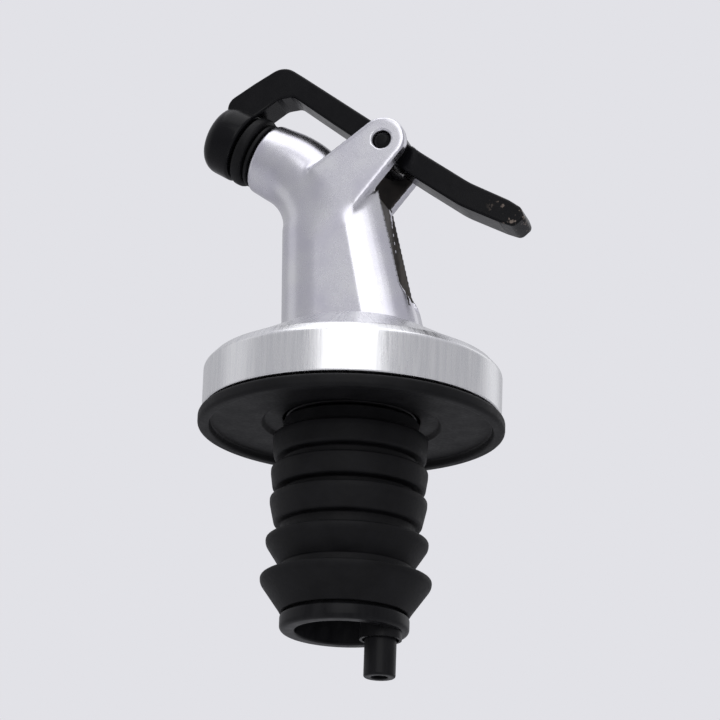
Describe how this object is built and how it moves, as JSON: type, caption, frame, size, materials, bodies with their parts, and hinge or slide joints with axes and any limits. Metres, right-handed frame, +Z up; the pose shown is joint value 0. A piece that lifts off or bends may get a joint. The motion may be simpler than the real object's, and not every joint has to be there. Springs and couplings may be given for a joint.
{
  "type": "liquor pour spout",
  "caption": "Bottle pourer with a plated slanted nozzle, sprung thumb lever with a plug over the mouth, collar with lip gasket, and ribbed rubber stopper with a vent tube.",
  "frame": {"origin": "on the stopper's axis, in the plane where the gasket rests on the bottle's lip", "axes": "+Z up along the stopper, -X towards the nozzle's mouth, +X towards the lever's thumb tail, +Y along the hinge pin"},
  "size_m": [0.0416, 0.0368, 0.0767],
  "materials": {
    "plated_metal": "satin",
    "black_rubber": "matte",
    "core_plastic": "satin",
    "gloss_black": "gloss",
    "spring_steel": "polished"
  },
  "bodies": {
    "root": {"collar_cap": "plated_metal", "lip_gasket": "black_rubber", "core_stem": "core_plastic", "stopper_sleeve": "black_rubber", "vent_tube": "core_plastic", "body_seal": "black_rubber", "spout_body": "plated_metal", "pivot_pin": "gloss_black", "torsion_spring": "spring_steel"},
    "lever": {"lever": "gloss_black", "mouth_seal": "black_rubber", "plug_disc": "black_rubber"}
  },
  "joints": [
    {"name": "lever_hinge", "type": "hinge", "parent": "root", "child": "lever", "pos_m": [0.004, 0, 0.0345], "axis": [0, 1, 0], "range_deg": [0, 36], "stiffness_Nm_per_rad": 0.02, "springref_deg": -57.3, "deforming": ["torsion_spring"]}
  ]
}
